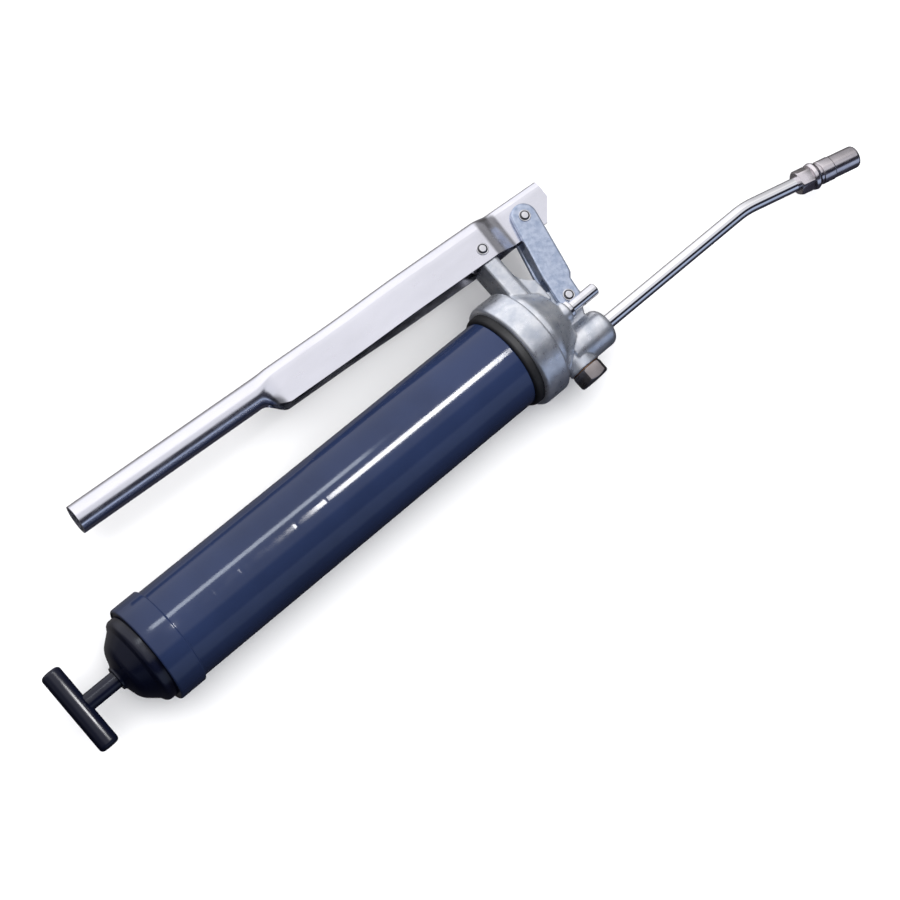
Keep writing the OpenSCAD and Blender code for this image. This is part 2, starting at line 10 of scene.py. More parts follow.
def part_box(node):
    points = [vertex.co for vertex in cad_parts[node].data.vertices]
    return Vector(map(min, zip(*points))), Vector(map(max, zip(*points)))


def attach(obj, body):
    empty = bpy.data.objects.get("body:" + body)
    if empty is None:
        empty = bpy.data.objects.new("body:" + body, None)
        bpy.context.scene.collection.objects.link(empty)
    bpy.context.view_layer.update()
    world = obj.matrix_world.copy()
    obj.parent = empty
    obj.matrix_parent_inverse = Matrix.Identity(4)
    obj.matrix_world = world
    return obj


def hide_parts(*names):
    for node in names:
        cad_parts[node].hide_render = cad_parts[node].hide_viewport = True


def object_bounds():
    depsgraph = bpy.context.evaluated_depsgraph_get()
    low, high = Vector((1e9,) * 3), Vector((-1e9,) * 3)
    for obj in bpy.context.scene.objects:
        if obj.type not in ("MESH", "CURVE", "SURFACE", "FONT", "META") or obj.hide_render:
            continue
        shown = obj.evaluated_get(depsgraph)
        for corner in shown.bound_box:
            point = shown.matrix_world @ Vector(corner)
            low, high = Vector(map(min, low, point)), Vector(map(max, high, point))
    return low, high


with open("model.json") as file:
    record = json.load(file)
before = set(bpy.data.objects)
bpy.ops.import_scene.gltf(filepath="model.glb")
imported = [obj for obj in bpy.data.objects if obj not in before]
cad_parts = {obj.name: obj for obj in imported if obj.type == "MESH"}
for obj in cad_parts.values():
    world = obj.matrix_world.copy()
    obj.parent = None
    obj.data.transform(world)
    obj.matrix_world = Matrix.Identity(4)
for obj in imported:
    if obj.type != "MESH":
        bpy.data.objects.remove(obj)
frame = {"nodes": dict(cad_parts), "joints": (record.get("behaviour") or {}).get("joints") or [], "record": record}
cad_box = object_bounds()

# Lengths are in millimetres, in the part's frame, until a mesh is made.
MM = 0.001
NODE_BODY = {n: body for body, names in frame["record"]["behaviour"]["bodies"].items() for n in names}
NODE_SLOT = {s["node"]: s["material_slot"] for s in frame["record"]["subparts"]}


def pin_axis(joint):
    """Where a hinge's axis crosses the lever's plane, in millimetres."""
    found = next(j for j in frame["joints"] if j["name"] == joint)
    return Vector(found["pos_m"]).to_2d() / MM


def box_mm(node):
    low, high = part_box(node)
    return low / MM, high / MM


# ------------------------------------------------------------------ driving sizes, from the frame
PIN_C = pin_axis("link_swing")
PIN_B = pin_axis("lever_swing")
PLUNGER_X = sum(c.x for c in box_mm("plunger_packing")) / 2
PIN_A = Vector((PLUNGER_X, sum(c.y for c in box_mm("plunger_pin")) / 2))
BARREL_BACK, BARREL_FRONT = (c.x for c in box_mm("barrel"))
BARREL_R = 28.5
BARREL_BORE = 27.0
SEAL_BACK, SEAL_FRONT = (c.x for c in box_mm("dust_seal"))
SEAL_R = box_mm("dust_seal")[1].z
SPIGOT_X = SEAL_BACK - 0.3
SPIGOT_R = 28.0
BELL_BORE = 29.1
BELL_R = box_mm("barrel")[1].z
BELL_STEP = BARREL_BACK + 17
COLLAR_BACK = PLUNGER_X - 27.5
COLLAR_FRONT = COLLAR_BACK + 16.8
COLLAR_R = box_mm("head_casting")[1].z
TOWER_TOP = box_mm("head_casting")[1].y
NOSE_X = PLUNGER_X + 31.7
NOSE_Y = -20.5
NOSE_R = 11.8
DOME_X = PLUNGER_X + 11
VALVE_X = PLUNGER_X + 4.5
PLUG_SEAT = -32.8
BLEED_Y, BLEED_Z = -1.8, 12.8
PIN_R = 3.0
PLUNGER_R = 3.6
PIPE_R = 4.3
FIT = 0.06


# ------------------------------------------------------------------ mesh helpers
def add_object(name, mesh):
    piece = bpy.data.objects.new(name, mesh)
    bpy.context.scene.collection.objects.link(piece)
    return piece


def smooth_shade(piece, angle=32):
    """Smooth shading that keeps edges sharper than angle."""
    mesh = piece.data
    mesh.polygons.foreach_set("use_smooth", [True] * len(mesh.polygons))
    mesh.set_sharp_from_angle(angle=math.radians(angle))


def mesh_object(name, points, faces, place=None):
    """Closed mesh object from points in millimetres, with its faces turned outwards."""
    mesh = bpy.data.meshes.new(name)
    place = place or Matrix.Identity(4)
    mesh.from_pydata([(place @ Vector(p)) * MM for p in points], [], faces)
    work = bmesh.new()
    work.from_mesh(mesh)
    bmesh.ops.recalc_face_normals(work, faces=work.faces)
    work.to_mesh(mesh)
    work.free()
    piece = add_object(name, mesh)
    smooth_shade(piece)
    return piece


def arc(x, y, radius, degrees):
    """Points on a circle round (x, y), one for each angle."""
    turns = [math.radians(a) for a in degrees]
    return [(x + radius * math.cos(t), y + radius * math.sin(t)) for t in turns]


def rounded(corners, steps=6):
    """Outline from corners (a, b) or (a, b, radius), the latter rounded by an arc."""
    outline = []
    count = len(corners)
    for i, corner in enumerate(corners):
        here = Vector(corner[:2])
        if len(corner) < 3:
            outline.append(tuple(here))
            continue
        before = (Vector(corners[i - 1][:2]) - here).normalized()
        after = (Vector(corners[(i + 1) % count][:2]) - here).normalized()
        half = before.angle(after) / 2
        centre = here + (before + after).normalized() * corner[2] / math.sin(half)
        reach = corner[2] / math.tan(half)
        start, end = here + before * reach - centre, here + after * reach - centre
        first = math.atan2(start.y, start.x)
        turn = math.atan2(start.x * end.y - start.y * end.x, start.dot(end))
        for k in range(steps + 1):
            angle = first + turn * k / steps
            spot = Vector((math.cos(angle), math.sin(angle))) * corner[2]
            outline.append(tuple(centre + spot))
    return outline


def along_x(a, side, up):
    return (a, side, up)


def along_y(a, side, up):
    return (side, a, up)


def along_z(a, side, up):
    return (side, up, a)


def lathe(name, profile, axis=along_x, centre=(0, 0, 0), segments=128, place=None, ring=False):
    """Solid turned about an axis from (along, radius) points. A ring's profile closes on itself."""
    points, faces, loops = [], [], []
    for a, radius in profile:
        start = len(points)
        if radius < 1e-6:
            points.append(axis(a, 0, 0))
            loops.append([start] * segments)
            continue
        for k in range(segments):
            angle = 2 * math.pi * k / segments
            points.append(axis(a, radius * math.cos(angle), radius * math.sin(angle)))
        loops.append(list(range(start, start + segments)))
    pairs = list(zip(loops, loops[1:]))
    if ring:
        pairs.append((loops[-1], loops[0]))
    for one, two in pairs:
        for k in range(segments):
            n = (k + 1) % segments
            corners = list(dict.fromkeys([one[k], one[n], two[n], two[k]]))
            if len(corners) > 2:
                faces.append(corners)
    if not ring:
        for loop in (loops[0], loops[-1]):
            if loop[0] != loop[1]:
                faces.append(loop)
    shifted = [Vector(p) + Vector(centre) for p in points]
    return mesh_object(name, shifted, faces, place)


def cylinder(name, radius, low, high, axis=along_x, centre=(0, 0, 0), segments=64, place=None):
    profile = [(low, 0), (low, radius), (high, radius), (high, 0)]
    return lathe(name, profile, axis, centre, segments, place)


def prism(name, outline, low, high, place=None, axis=along_z):
    """Outline (side, up) extruded from low to high."""
    count = len(outline)
    points = [axis(a, s, u) for a in (low, high) for s, u in outline]
    faces = [list(range(count)), list(range(count, 2 * count))]
    faces += [[k, (k + 1) % count, count + (k + 1) % count, count + k] for k in range(count)]
    return mesh_object(name, points, faces, place)


def bake(piece):
    """Applies the piece's modifiers to its mesh."""
    graph = bpy.context.evaluated_depsgraph_get()
    made = bpy.data.meshes.new_from_object(piece.evaluated_get(graph))
    piece.modifiers.clear()
    piece.data = made
    return piece


def bevel(piece, width, segments=3, angle=35):
    tool = piece.modifiers.new("bevel", "BEVEL")
    tool.width = width * MM
    tool.segments = segments
    tool.limit_method = "ANGLE"
    tool.angle_limit = math.radians(angle)
    tool.use_clamp_overlap = True
    bake(piece)
    smooth_shade(piece)
    return piece


def join(name, pieces):
    """One object from several, each of which is used up."""
    work = bmesh.new()
    for piece in pieces:
        work.from_mesh(piece.data)
        bpy.data.objects.remove(piece)
    mesh = bpy.data.meshes.new(name)
    work.to_mesh(mesh)
    work.free()
    return add_object(name, mesh)


def combine(piece, tools, operation="DIFFERENCE"):
    """Cuts the tools out of the piece, or fuses them with it."""
    for tool in tools:
        cut = piece.modifiers.new("cut", "BOOLEAN")
        cut.operation = operation
        cut.solver = "EXACT"
        cut.object = tool
        bake(piece)
        bpy.data.objects.remove(tool)
    smooth_shade(piece)
    return piece


def cast_skin(piece, voxel=0.55, rounds=6):
    """Melts joined solids into one casting with soft fillets."""
    remesh = piece.modifiers.new("remesh", "REMESH")
    remesh.mode = "VOXEL"
    remesh.voxel_size = voxel * MM
    soften = piece.modifiers.new("soften", "SMOOTH")
    soften.factor = 0.5
    soften.iterations = rounds
    return bake(piece)


def show_as(piece, node, material):
    """The piece stands for a CAD node and moves with its body."""
    piece.data.materials.clear()
    piece.data.materials.append(material)
    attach(piece, NODE_BODY[node])
    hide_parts(node)
    return piece


# ------------------------------------------------------------------ materials
def new_material(name, colour, metallic, roughness, specular=0.5):
    material = bpy.data.materials.new(name)
    material.use_nodes = True
    shader = material.node_tree.nodes["Principled BSDF"]
    shader.inputs["Base Color"].default_value = (*colour, 1)
    shader.inputs["Metallic"].default_value = metallic
    shader.inputs["Roughness"].default_value = roughness
    shader.inputs["Specular IOR Level"].default_value = specular
    return material, shader


def noise_node(tree, scale, detail=4, stretch=(1, 1, 1), rough=0.55):
    """Noise over the object's own coordinates, in metres."""
    where = tree.nodes.new("ShaderNodeTexCoord")
    mapping = tree.nodes.new("ShaderNodeMapping")
    mapping.inputs["Scale"].default_value = stretch
    texture = tree.nodes.new("ShaderNodeTexNoise")
    texture.inputs["Scale"].default_value = scale
    texture.inputs["Detail"].default_value = detail
    texture.inputs["Roughness"].default_value = rough
    tree.links.new(where.outputs["Object"], mapping.inputs["Vector"])
    tree.links.new(mapping.outputs["Vector"], texture.inputs["Vector"])
    return texture.outputs["Fac"]


def vary(material, shader, socket, source, low, high, start=0.3, end=0.7):
    """Drives a socket from low to high by a noise."""
    tree = material.node_tree
    if isinstance(low, tuple):
        ramp = tree.nodes.new("ShaderNodeValToRGB")
        ramp.color_ramp.elements[0].position = start
        ramp.color_ramp.elements[1].position = end
        ramp.color_ramp.elements[0].color = (*low, 1)
        ramp.color_ramp.elements[1].color = (*high, 1)
        tree.links.new(source, ramp.inputs["Fac"])
        tree.links.new(ramp.outputs["Color"], shader.inputs[socket])
        return
    spread = tree.nodes.new("ShaderNodeMapRange")
    spread.inputs["From Min"].default_value = start
    spread.inputs["From Max"].default_value = end
    spread.inputs["To Min"].default_value = low
    spread.inputs["To Max"].default_value = high
    tree.links.new(source, spread.inputs["Value"])
    tree.links.new(spread.outputs["Result"], shader.inputs[socket])


def add_bump(material, shader, source, depth, strength=1.0, under=None):
    """Bump of a given depth in millimetres, over an earlier bump if there is one."""
    tree = material.node_tree
    bump = tree.nodes.new("ShaderNodeBump")
    bump.inputs["Strength"].default_value = strength
    bump.inputs["Distance"].default_value = depth * MM
    tree.links.new(source, bump.inputs["Height"])
    if under is not None:
        tree.links.new(under.outputs["Normal"], bump.inputs["Normal"])
    tree.links.new(bump.outputs["Normal"], shader.inputs["Normal"])
    return bump


def shade(colour, factor):
    return tuple(min(1.0, c * factor) for c in colour)


def tint(material, shader, source, colour, darker, lighter):
    vary(material, shader, "Base Color", source, shade(colour, darker), shade(colour, lighter))


def wear(material, shader, source, roughness, smoother=0.75, rougher=1.3):
    vary(material, shader, "Roughness", source, roughness * smoother, roughness * rougher)


def enamel(name, colour, roughness, specular):
    """Sprayed gloss enamel: faint orange peel, slight drift of colour and gloss."""
    material, shader = new_material(name, colour, 0.0, roughness, specular)
    tree = material.node_tree
    drift = noise_node(tree, 22, 3)
    tint(material, shader, drift, colour, 0.86, 1.14)
    wear(material, shader, noise_node(tree, 140, 5), roughness, 0.8, 1.35)
    add_bump(material, shader, noise_node(tree, 420, 2), 0.010, 0.6)
    return material


def metal(name, colour, roughness, grain=600, depth=0.01, stretch=(1, 1, 1), mottle=0.12):
    """Plated or machined metal with a fine grain and a mottled finish."""
    material, shader = new_material(name, colour, 1.0, roughness)
    tree = material.node_tree
    cloud = noise_node(tree, 90, 5, stretch)
    tint(material, shader, cloud, colour, 1 - mottle, 1 + mottle * 0.6)
    wear(material, shader, noise_node(tree, 230, 6, stretch), roughness)
    add_bump(material, shader, noise_node(tree, grain, 4, stretch), depth)
    return material


def casting(name, low, high, roughness, lump, grain, lump_depth, grain_depth):
    """As-cast metal: two scales of unevenness and a two-tone finish."""
    material, shader = new_material(name, high, 0.8, roughness)
    tree = material.node_tree
    vary(material, shader, "Base Color", noise_node(tree, lump * 0.8, 6), low, high, 0.34, 0.62)
    wear(material, shader, noise_node(tree, lump * 2, 5), roughness)
    coarse = add_bump(material, shader, noise_node(tree, lump, 4), lump_depth)
    add_bump(material, shader, noise_node(tree, grain, 3), grain_depth, under=coarse)
    return material


def rubber(name, colour):
    material, shader = new_material(name, colour, 0.0, 0.6, 0.35)
    tree = material.node_tree
    tint(material, shader, noise_node(tree, 120, 4), colour, 0.7, 1.5)
    add_bump(material, shader, noise_node(tree, 1500, 3), 0.02)
    return material


def make_materials():
    return {
        "cast_zinc": casting("cast_zinc", (0.58, 0.62, 0.69), (0.80, 0.82, 0.86), 0.32,
                             150, 900, 0.06, 0.015),
        "rough_casting": casting("rough_casting", (0.40, 0.48, 0.64), (0.60, 0.67, 0.82), 0.36,
                                 420, 1600, 0.16, 0.04),
        "plated_sheet": metal("plated_sheet", (0.80, 0.80, 0.86), 0.22, 120, 0.006,
                              (0.35, 1, 1), mottle=0.04),
        "black_rubber": rubber("black_rubber", (0.008, 0.008, 0.009)),
        "plug_steel": metal("plug_steel", (0.34, 0.31, 0.31), 0.3, 700, 0.02),
        "copper_washer": metal("copper_washer", (0.30, 0.17, 0.10), 0.42, 700, 0.02),
        "bright_steel": metal("bright_steel", (0.80, 0.80, 0.83), 0.12, 900, 0.004),
        "spring_steel": metal("spring_steel", (0.42, 0.42, 0.45), 0.3),
        "chrome_pipe": metal("chrome_pipe", (0.86, 0.86, 0.88), 0.09, 300, 0.004,
                             (0.3, 1, 1), mottle=0.06),
        "coupler_plate": metal("coupler_plate", (0.74, 0.70, 0.73), 0.2, 700, 0.01),
        "jaw_steel": metal("jaw_steel", (0.12, 0.12, 0.13), 0.35),
        "navy_enamel": enamel("navy_enamel", (0.015, 0.024, 0.062), 0.10, 0.3),
        "dark_enamel": enamel("dark_enamel", (0.003, 0.004, 0.012), 0.20, 0.35),
        "bush_steel": metal("bush_steel", (0.10, 0.10, 0.11), 0.35),
        "plate_steel": metal("plate_steel", (0.6, 0.6, 0.62), 0.3),
    }


# ------------------------------------------------------------------ head
def head_solids():
    """The casting's rough solids, before they are melted together."""
    x0, x1 = COLLAR_BACK, COLLAR_FRONT
    collar = lathe("collar", rounded([
        (x0, 0), (x0, COLLAR_R, 2.6), (x1, COLLAR_R, 1.0), (x1, 28.2, 1.2), (x1 + 5.5, 28.2, 6),
        (DOME_X - 2, 19.5, 4), (DOME_X, 15), (DOME_X, 0)]))
    tower_x0, tower_x1, tower_z = PLUNGER_X - 5.5, PLUNGER_X + 5.5, 11.8
    tower = prism("tower", rounded([
        (tower_x0, -tower_z, 2), (tower_x1, -tower_z, 2.6),
        (tower_x1, tower_z, 2.6), (tower_x0, tower_z, 2)]), 5, TOWER_TOP, axis=along_y)
    flare_curve = arc(PLUNGER_X + 28.3, 45, 25, range(204, 237, 4))
    flare = prism("flare", [(tower_x0, 15), (tower_x0, 30), (tower_x1 - 0.1, 36), *flare_curve,
                            (PLUNGER_X + 14, 10)], -9, 9)
    lug = prism("lug", [(PLUNGER_X + 5, -14), (PLUNGER_X + 5, 22), (PLUNGER_X + 13.5, 17),
                        *arc(PIN_C.x, PIN_C.y, 8.8, range(115, -61, -12)),
                        (PLUNGER_X + 22, -14)], -4.9, 4.9)
    nose = lathe("nose", rounded([
        (PLUNGER_X + 2, 0), (PLUNGER_X + 2, NOSE_R), (NOSE_X, NOSE_R, 4), (NOSE_X, 0)]),
        centre=(0, NOSE_Y, 0))
    valve_boss = cylinder("valve_boss", 10, PLUG_SEAT, -8, along_y, (VALVE_X, 0, 0), 128)
    bleed_boss = lathe("bleed_boss", rounded([
        (PLUNGER_X - 4, 0), (PLUNGER_X - 4, 7.2), (DOME_X + 2.5, 7.2, 1.2), (DOME_X + 2.5, 0)]),
        centre=(0, BLEED_Y, BLEED_Z))
    return [collar, tower, flare, lug, nose, valve_boss, bleed_boss]


def head_cutters():
    """Machined bores and faces, cut after the casting has been melted."""
    def bore(radius, low, high, axis=along_x, centre=(0, 0, 0)):
        return cylinder("bore", radius, low, high, axis, centre, 96)

    return [
        bore(SPIGOT_R + FIT, COLLAR_BACK - 1, BARREL_FRONT + 2),
        bore(BARREL_BORE - 2, BARREL_FRONT + 1.9, PLUNGER_X - 12),
        bore(SEAL_R + 0.1, COLLAR_BACK - 1, SEAL_FRONT),
        bore(PLUNGER_R + FIT, -14, TOWER_TOP + 1, along_y, (PLUNGER_X, 0, 0)),
        bore(6.2, PLUG_SEAT - 1, -18, along_y, (VALVE_X, 0, 0)),
        bore(PIPE_R, NOSE_X - 9, NOSE_X + 1, centre=(0, NOSE_Y, 0)),
        bore(4.6, PLUNGER_X + 2, DOME_X + 20, centre=(0, BLEED_Y, BLEED_Z)),
        bore(PIN_R + 0.05, -5.9, 5.9, along_z, (PIN_C.x, PIN_C.y, 0)),
    ]


def make_head(mats):
    head = cast_skin(join("head_casting_cast", head_solids()), rounds=4)
    combine(head, head_cutters())
    show_as(head, "head_casting", mats["cast_zinc"])
    seal = lathe("dust_seal_ring", rounded([
        (SEAL_FRONT, SPIGOT_R + 0.1), (SEAL_BACK, SPIGOT_R + 0.1), (SEAL_BACK, SEAL_R, 2),
        (SEAL_FRONT, SEAL_R)]), ring=True)
    show_as(seal, "dust_seal", mats["black_rubber"])


def hexagon(radius):
    return arc(0, 0, radius, range(0, 360, 60))


def make_plug(mats):
    head_low = PLUG_SEAT - 9
    plug = prism("valve_plug_head", hexagon(10.3), head_low, PLUG_SEAT - 0.8,
                 Matrix.Translation((VALVE_X, 0, 0)), axis=along_y)
    dome = lathe("chamfer", [
        (head_low, 0), (head_low, 8.6), (head_low + 1.3, 10.4), (PLUG_SEAT - 1.6, 10.4),
        (PLUG_SEAT - 0.8, 9.6), (PLUG_SEAT - 0.8, 0)], along_y, (VALVE_X, 0, 0))
    combine(plug, [dome], "INTERSECT")
    bevel(plug, 0.35, 2, 25)
    shank = cylinder("shank", 6.15, PLUG_SEAT - 2, PLUG_SEAT + 7, along_y, (VALVE_X, 0, 0))
    combine(plug, [shank], "UNION")
    recess = cylinder("recess", 4.6, PLUG_SEAT + 3, PLUG_SEAT + 8, along_y, (VALVE_X, 0, 0))
    combine(plug, [recess])
    show_as(plug, "valve_plug", mats["plug_steel"])
    washer = lathe("plug_washer_ring", rounded([
        (PLUG_SEAT - 0.78, 6.2), (PLUG_SEAT - 0.02, 6.2), (PLUG_SEAT - 0.02, 9.2, 0.3),
        (PLUG_SEAT - 0.78, 9.2, 0.3)]), along_y, (VALVE_X, 0, 0), ring=True)
    show_as(washer, "plug_washer", mats["copper_washer"])


def make_bleed(mats):
    centre = (0, BLEED_Y, BLEED_Z)
    face = DOME_X + 2.55
    body = lathe("bleed_body_turned", rounded([
        (PLUNGER_X + 5, 3.86), (PLUNGER_X + 5, 4.55), (face, 4.55), (face, 6.3), (face + 2.6, 6.3, 0.7),
        (face + 2.6, 3.86, 0.4)]), centre=centre, ring=True)
    show_as(body, "bleed_body", mats["bright_steel"])
    pin_back, pin_end, pin_r = PLUNGER_X + 13.4, PLUNGER_X + 36.5, 3.8
    pin = lathe("bleed_pin_turned", rounded([
        (pin_back - 1, 0), (pin_back - 1, 1.6), (pin_back, 1.6), (pin_back, pin_r),
        (pin_end, pin_r, 0.8), (pin_end, 0)]), centre=centre)
    show_as(pin, "bleed_pin", mats["bright_steel"])


# ------------------------------------------------------------------ pipe and coupler
PIPE_BEND = math.radians(12.8)
BEND_R = 60.0
BEND_AT = Vector((PLUNGER_X + 149.7, NOSE_Y))
BEND_LEAD = BEND_R * math.tan(PIPE_BEND / 2)
PIPE_END = 38.3
BEYOND = Matrix.Translation((BEND_AT.x, BEND_AT.y, 0)) @ Matrix.Rotation(-PIPE_BEND, 4, "Z")
COUPLER = BEYOND @ Matrix.Translation((PIPE_END, 0, 0))


def pipe_stations(bend_steps=14):
    """The pipe's middle line as (x, y, angle turned down)."""
    start, bend_start = NOSE_X - 8.9, BEND_AT.x - BEND_LEAD
    line = [(start + (bend_start - start) * k / 12, NOSE_Y, 0) for k in range(12)]
    for k in range(bend_steps + 1):
        a = PIPE_BEND * k / bend_steps
        line.append((bend_start + BEND_R * math.sin(a), NOSE_Y - BEND_R * (1 - math.cos(a)), a))
    beyond = Vector((math.cos(PIPE_BEND), -math.sin(PIPE_BEND)))
    for k in range(1, 6):
        spot = BEND_AT + beyond * (BEND_LEAD + (PIPE_END + 9 - BEND_LEAD) * k / 5)
        line.append((spot.x, spot.y, PIPE_BEND))
    return line


def make_pipe(mats, sides=64):
    points, faces = [], []
    line = pipe_stations()
    for x, y, turn in line:
        for k in range(sides):
            b = 2 * math.pi * k / sides
            reach, height = PIPE_R * math.cos(b), PIPE_R * math.sin(b)
            points.append((x + reach * math.sin(turn), y + reach * math.cos(turn), height))
    for s in range(len(line) - 1):
        for k in range(sides):
            n = (k + 1) % sides
            faces.append([s * sides + k, s * sides + n, (s + 1) * sides + n, (s + 1) * sides + k])
    faces.append(list(range(sides)))
    faces.append([(len(line) - 1) * sides + k for k in range(sides)])
    show_as(mesh_object("extension_pipe_tube", points, faces), "extension_pipe", mats["chrome_pipe"])


def make_coupler(mats):
    plate = mats["coupler_plate"]
    adaptor_end, ring_end, sleeve_end = 9.5, 14.6, 43.9
    adaptor = prism("coupler_adaptor_hex", hexagon(7.9), 0, adaptor_end, COUPLER, axis=along_x)
    dome = lathe("chamfer", [
        (0, 0), (0, 6.9), (1.1, 8.1), (adaptor_end - 0.9, 8.1), (adaptor_end, 7.0),
        (adaptor_end, 0)], place=COUPLER)
    combine(adaptor, [dome], "INTERSECT")
    bevel(adaptor, 0.25, 2, 25)
    neck = cylinder("neck", 5.2, adaptor_end - 1, ring_end + 3, place=COUPLER)
    combine(adaptor, [neck], "UNION")
    socket = cylinder("socket", PIPE_R, -1, 9.2, place=COUPLER)
    combine(adaptor, [socket])
    show_as(adaptor, "coupler_adaptor", plate)

    ring = lathe("coupler_lock_ring_turned", rounded([
        (adaptor_end + 0.05, 5.25), (adaptor_end + 0.05, 8.0, 0.8), (adaptor_end + 2.6, 8.6, 1.5),
        (ring_end, 7.2, 0.8), (ring_end, 5.25)]), place=COUPLER, ring=True)
    show_as(ring, "coupler_lock_ring", plate)

    back = ring_end + 0.05
    sleeve = lathe("coupler_sleeve_turned", rounded([
        (back, 5.25), (back, 6.6, 0.2), (back + 1.6, 6.6), (back + 2.1, 7.3, 0.3), (24.6, 7.3, 0.2),
        (25.2, 7.0, 0.2), (sleeve_end, 7.0, 2.2), (sleeve_end, 3.6, 0.5), (40.6, 3.6), (40.6, 5.6),
        (ring_end + 3.05, 5.6), (ring_end + 3.05, 5.25)]), place=COUPLER, ring=True)
    show_as(sleeve, "coupler_sleeve", plate)

    jaws = lathe("coupler_jaws_turned", rounded([
        (32, 2.9), (32, 5.3), (38.4, 5.3, 0.4), (40.2, 4.6, 0.2), (40.2, 2.9)]),
        place=COUPLER, ring=True)
    slots = []
    for quarter in range(2):
        turn = COUPLER @ Matrix.Rotation(math.radians(90 * quarter), 4, "X")
        outline = [(33.4, -0.45), (41.4, -0.45), (41.4, 0.45), (33.4, 0.45)]
        slots.append(prism("slot", outline, -6, 6, turn))
    combine(jaws, slots)
    show_as(jaws, "coupler_jaws", mats["jaw_steel"])
    seal = lathe("coupler_seal_ring", [(26.4, 1.4), (26.4, 5.2), (31.9, 5.2), (31.9, 2.7), (30.4, 1.4)],
                 place=COUPLER, ring=True)
    show_as(seal, "coupler_seal", mats["black_rubber"])


# ------------------------------------------------------------------ barrel and follower rod
BEADS = (-99.0, -81.0, -42.5, -21.6)
BEAD_WIDTH, BEAD_DEPTH = 4.0, 0.05


def bead_profile():
    """Shallow rolled rings sunk into the barrel, from its tail to its front."""
    points = []
    for x in BEADS:
        for k in range(9):
            t = k / 8
            sink = 0.5 - 0.5 * math.cos(2 * math.pi * t)
            points.append((x + BEAD_WIDTH * (t - 0.5), BARREL_R - BEAD_DEPTH * sink))
    return points


def make_barrel(mats):
    outer = rounded([(BARREL_BACK, BELL_BORE), (BARREL_BACK, BELL_R, 1.1), (BELL_STEP, BELL_R, 0.9),
                     (BELL_STEP, BARREL_R, 0.7), (BELL_STEP + 6, BARREL_R)])
    inner = rounded([(SPIGOT_X, BARREL_R, 0.3), (SPIGOT_X, SPIGOT_R), (BARREL_FRONT, SPIGOT_R, 0.5),
                     (BARREL_FRONT, BARREL_BORE), (BELL_STEP - 2, BARREL_BORE),
                     (BELL_STEP - 2, BELL_BORE)])
    barrel = lathe("barrel_tube", outer + bead_profile() + inner, segments=192, ring=True)
    show_as(barrel, "barrel", mats["navy_enamel"])


def make_cap(mats):
    rim_back, nose = BARREL_BACK - 9.8, BARREL_BACK - 19.9
    cap = lathe("end_cap_shell", rounded([
        (nose, 6.5), (nose, 7.0, 0.3), (nose + 1.4, 7.2, 1.5), (nose + 4.4, 16.5, 12),
        (rim_back + 2.3, 23.2, 1.2),
        (rim_back + 4.2, 26.7, 3.4), (BARREL_BACK + 0.6, 26.7), (BARREL_BACK + 0.6, BELL_BORE - 0.05),
        (BARREL_BACK + 13, BELL_BORE - 0.05), (BARREL_BACK + 13, 24.5), (BARREL_BACK, 24.5),
        (rim_back + 4, 21.6),
        (nose + 4.2, 8), (nose + 4.2, 6.5)]), segments=160, ring=True)
    show_as(cap, "end_cap", mats["dark_enamel"])
    bush = lathe("rod_bush_ring", rounded([
        (nose + 0.4, 5.06), (nose + 0.4, 6.45, 0.3), (nose + 4.3, 6.45), (nose + 4.3, 7.8),
        (nose + 6.2, 7.8), (nose + 6.2, 5.06)]), ring=True)
    show_as(bush, "rod_bush", mats["bush_steel"])


def make_rod(mats):
    tee_x = sum(c.x for c in box_mm("t_handle")) / 2
    tee_half, tee_r = box_mm("t_handle")[1].y, box_mm("t_handle")[1].z
    front = box_mm("follower_rod")[1].x
    rod = lathe("follower_rod_turned", rounded([
        (tee_x + tee_r - 1.5, 0), (tee_x + tee_r - 1.5, 5), (front - 12.4, 5), (front - 12.4, 3.9),
        (front, 3.9, 0.9), (front, 0)]))
    show_as(rod, "follower_rod", mats["dark_enamel"])
    tee = lathe("t_handle_bar", rounded([
        (-tee_half, 0), (-tee_half, tee_r, 2.2), (tee_half, tee_r, 2.2), (tee_half, 0)]),
        along_y, (tee_x, 0, 0))
    show_as(tee, "t_handle", mats["dark_enamel"])


# ------------------------------------------------------------------ lever
LEVER_TILT = math.radians(3.2)
LEVER = Matrix.Translation((PIN_B.x, PIN_B.y, 0)) @ Matrix.Rotation(-LEVER_TILT, 4, "Z")
SHEET = 1.6
TOP, LOW = 14.5, -10.4
TAIL, NOSE_TIP = -313.0, 20.5
GRIP_D = 17.4
GRIP_END = TAIL + 120
ROLL = 15.0
HALF_RING = 24


def ease(t):
    t = min(max(t, 0.0), 1.0)
    return t * t * (3 - 2 * t)


def channel_half(x):
    """Half width of the folded sheet at x along the lever."""
    return 8 + 5.1 * ease((x + 141) / 60) - 9 * ease((x + 31) / 18)


def channel_line(half):
    """Middle line of the folded sheet: flange, bend, web, bend, flange, as (y, z)."""
    top = TOP - SHEET / 2
    bend = min(5.6, half - 0.6)
    side = []
    for k in range(9):
        side.append((LOW + (top - bend - LOW) * k / 8, -half))
    for k in range(1, 13):
        a = math.radians(-90 + 90 * k / 12)
        side.append((top - bend + bend * math.cos(a), -half + bend + bend * math.sin(a)))
    for k in range(1, 4):
        side.append((top, (-half + bend) * (1 - k / 4)))
    return side + [(top, 0)] + [(y, -z) for y, z in reversed(side)]


def grip_line():
    """Middle line of the rolled grip, open along a narrow seam below."""
    radius, centre, seam = GRIP_D / 2 - SHEET / 2, TOP - GRIP_D / 2, math.radians(3)
    count = 2 * HALF_RING + 1
    line = []
    for k in range(count):
        a = -math.pi + seam + (2 * math.pi - 2 * seam) * k / (count - 1)
        line.append((centre + radius * math.cos(a), radius * math.sin(a)))
    return line


